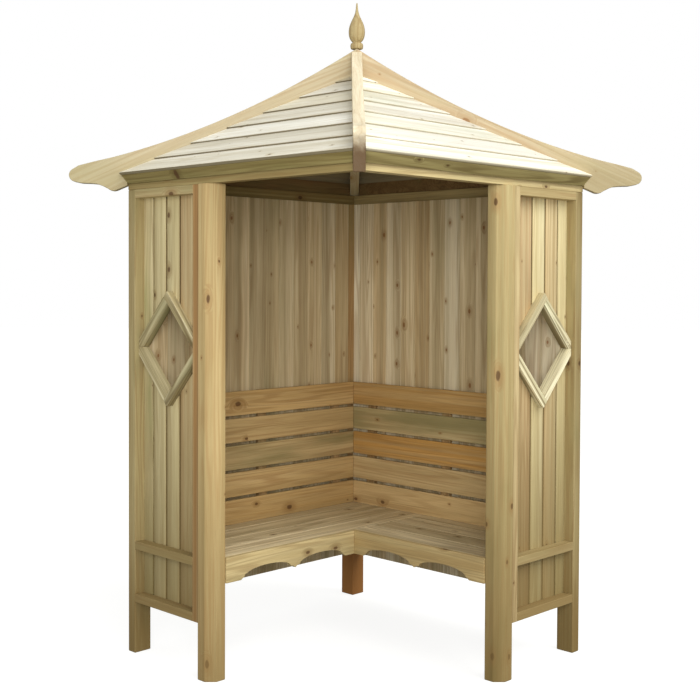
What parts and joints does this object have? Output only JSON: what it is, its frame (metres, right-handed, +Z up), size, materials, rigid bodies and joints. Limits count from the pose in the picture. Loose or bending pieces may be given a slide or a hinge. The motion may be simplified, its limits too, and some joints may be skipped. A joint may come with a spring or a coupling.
{
  "type": "corner garden arbour",
  "caption": "Square softwood corner arbour with boarded back walls, diamond side windows, L-shaped slatted bench and a low boarded pyramid roof with scrolled hip boards and a turned finial.",
  "frame": {"origin": "on the ground, under the middle of the square plan (the box's bottom centre)", "axes": "+Z up; the open front corner points along -Y, the back corner along +Y, and the side corners along -X and +X"},
  "size_m": [2.214, 1.8726, 2.524],
  "materials": {
    "post": "sawn and planed pressure-treated softwood",
    "wall_boards": "sawn and planed pressure-treated softwood",
    "frame": "sawn and planed pressure-treated softwood",
    "beam": "sawn and planed pressure-treated softwood",
    "fascia": "sawn and planed pressure-treated softwood",
    "roof_boards": "sawn and planed pressure-treated softwood",
    "hip": "sawn and planed pressure-treated softwood",
    "finial": "sawn and planed pressure-treated softwood",
    "seat": "sawn and planed pressure-treated softwood",
    "backrest": "sawn and planed pressure-treated softwood"
  },
  "bodies": {
    "root": {"post_back": "post", "post_left_rear": "post", "post_right_rear": "post", "post_left_front": "post", "post_right_front": "post", "back_boards_left": "wall_boards", "back_boards_right": "wall_boards", "back_rails_left": "frame", "back_rails_right": "frame", "side_boards_left": "wall_boards", "side_boards_right": "wall_boards", "side_rails_left": "frame", "side_rails_right": "frame", "side_stile_left": "frame", "side_stile_right": "frame", "window_left": "frame", "window_right": "frame", "beam_front_left": "beam", "beam_front_right": "beam", "beam_back_left": "beam", "beam_back_right": "beam", "fascia_front_left": "fascia", "fascia_front_right": "fascia", "fascia_back_left": "fascia", "fascia_back_right": "fascia", "roof_front_left": "roof_boards", "roof_front_right": "roof_boards", "roof_back_left": "roof_boards", "roof_back_right": "roof_boards", "eaves_bearers": "frame", "hip_left": "hip", "hip_right": "hip", "hip_front": "hip", "hip_back": "hip", "finial": "finial", "seat_left": "seat", "seat_right": "seat", "apron_left": "seat", "apron_right": "seat", "seat_wall_bearers": "frame", "seat_cross_bearers": "frame", "backrest_left": "backrest", "backrest_right": "backrest", "backrest_battens": "frame"}
  },
  "joints": []
}
